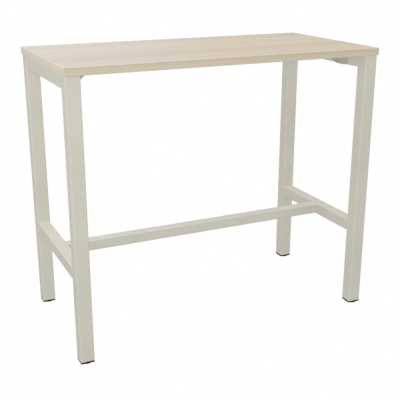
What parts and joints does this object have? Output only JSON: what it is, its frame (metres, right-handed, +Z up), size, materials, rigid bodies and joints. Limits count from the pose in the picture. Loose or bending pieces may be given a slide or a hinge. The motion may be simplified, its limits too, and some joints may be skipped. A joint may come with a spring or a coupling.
{
  "type": "standing meeting table",
  "caption": "Standing-height meeting table: rectangular oak-look board on square-tube end frames, a foot bar between them and screw-in levelling feet.",
  "frame": {"origin": "on the floor under the middle of the board", "axes": "+X along the board's length, +Y from the front to the back, +Z up"},
  "size_m": [1.2, 0.6, 1.042],
  "materials": {
    "board_laminate": "matt oak-look laminate, fine grain along the length",
    "edge_band": "satin oak-look edge band",
    "frame_paint": "pale warm grey powder coat, satin",
    "black_plastic": "black moulded plastic",
    "zinc_steel": "bright zinc plate"
  },
  "bodies": {
    "frame": {"bar_screw_left_a": "zinc_steel", "bar_screw_left_b": "zinc_steel", "bar_screw_right_a": "zinc_steel", "bar_screw_right_b": "zinc_steel", "bar_spigot_left": "frame_paint", "bar_spigot_right": "frame_paint", "board_screw_back_left_a": "zinc_steel", "board_screw_back_left_b": "zinc_steel", "board_screw_back_right_a": "zinc_steel", "board_screw_back_right_b": "zinc_steel", "board_screw_front_left_a": "zinc_steel", "board_screw_front_left_b": "zinc_steel", "board_screw_front_right_a": "zinc_steel", "board_screw_front_right_b": "zinc_steel", "bracket_back_left": "frame_paint", "bracket_back_right": "frame_paint", "bracket_front_left": "frame_paint", "bracket_front_right": "frame_paint", "edge_band_back": "edge_band", "edge_band_front": "edge_band", "edge_band_left": "edge_band", "edge_band_right": "edge_band", "foot_bar": "frame_paint", "foot_insert_back_left": "black_plastic", "foot_insert_back_right": "black_plastic", "foot_insert_front_left": "black_plastic", "foot_insert_front_right": "black_plastic", "foot_nut_back_left": "zinc_steel", "foot_nut_back_right": "zinc_steel", "foot_nut_front_left": "zinc_steel", "foot_nut_front_right": "zinc_steel", "foot_rail_left": "frame_paint", "foot_rail_right": "frame_paint", "leg_back_left": "frame_paint", "leg_back_right": "frame_paint", "leg_front_left": "frame_paint", "leg_front_right": "frame_paint", "rail_screw_back_left_a": "zinc_steel", "rail_screw_back_left_b": "zinc_steel", "rail_screw_back_right_a": "zinc_steel", "rail_screw_back_right_b": "zinc_steel", "rail_screw_front_left_a": "zinc_steel", "rail_screw_front_left_b": "zinc_steel", "rail_screw_front_right_a": "zinc_steel", "rail_screw_front_right_b": "zinc_steel", "top_board": "board_laminate", "top_rail_left": "frame_paint", "top_rail_right": "frame_paint"},
    "glide_front_left": {"glide_front_left": "black_plastic"},
    "stud_front_left": {"glide_stud_front_left": "zinc_steel"},
    "glide_front_right": {"glide_front_right": "black_plastic"},
    "stud_front_right": {"glide_stud_front_right": "zinc_steel"},
    "glide_back_left": {"glide_back_left": "black_plastic"},
    "stud_back_left": {"glide_stud_back_left": "zinc_steel"},
    "glide_back_right": {"glide_back_right": "black_plastic"},
    "stud_back_right": {"glide_stud_back_right": "zinc_steel"}
  },
  "joints": [
    {"name": "glide_level_front_left", "type": "slide", "parent": "frame", "child": "glide_front_left", "axis": [0, 0, -1], "range_m": [0, 0.01]},
    {"name": "stud_turn_front_left", "type": "hinge", "parent": "glide_front_left", "child": "stud_front_left", "pos_m": [-0.571, -0.271, 0], "axis": [0, 0, -1], "range_deg": [-5, 2885]},
    {"name": "glide_level_front_right", "type": "slide", "parent": "frame", "child": "glide_front_right", "axis": [0, 0, -1], "range_m": [0, 0.01]},
    {"name": "stud_turn_front_right", "type": "hinge", "parent": "glide_front_right", "child": "stud_front_right", "pos_m": [0.571, -0.271, 0], "axis": [0, 0, -1], "range_deg": [-5, 2885]},
    {"name": "glide_level_back_left", "type": "slide", "parent": "frame", "child": "glide_back_left", "axis": [0, 0, -1], "range_m": [0, 0.01]},
    {"name": "stud_turn_back_left", "type": "hinge", "parent": "glide_back_left", "child": "stud_back_left", "pos_m": [-0.571, 0.271, 0], "axis": [0, 0, -1], "range_deg": [-5, 2885]},
    {"name": "glide_level_back_right", "type": "slide", "parent": "frame", "child": "glide_back_right", "axis": [0, 0, -1], "range_m": [0, 0.01]},
    {"name": "stud_turn_back_right", "type": "hinge", "parent": "glide_back_right", "child": "stud_back_right", "pos_m": [0.571, 0.271, 0], "axis": [0, 0, -1], "range_deg": [-5, 2885]}
  ],
  "couplings": [
    {"joint": "stud_turn_front_left", "follows": "glide_level_front_left", "rad_per_m": 5026.5},
    {"joint": "stud_turn_front_right", "follows": "glide_level_front_right", "rad_per_m": 5026.5},
    {"joint": "stud_turn_back_left", "follows": "glide_level_back_left", "rad_per_m": 5026.5},
    {"joint": "stud_turn_back_right", "follows": "glide_level_back_right", "rad_per_m": 5026.5}
  ]
}
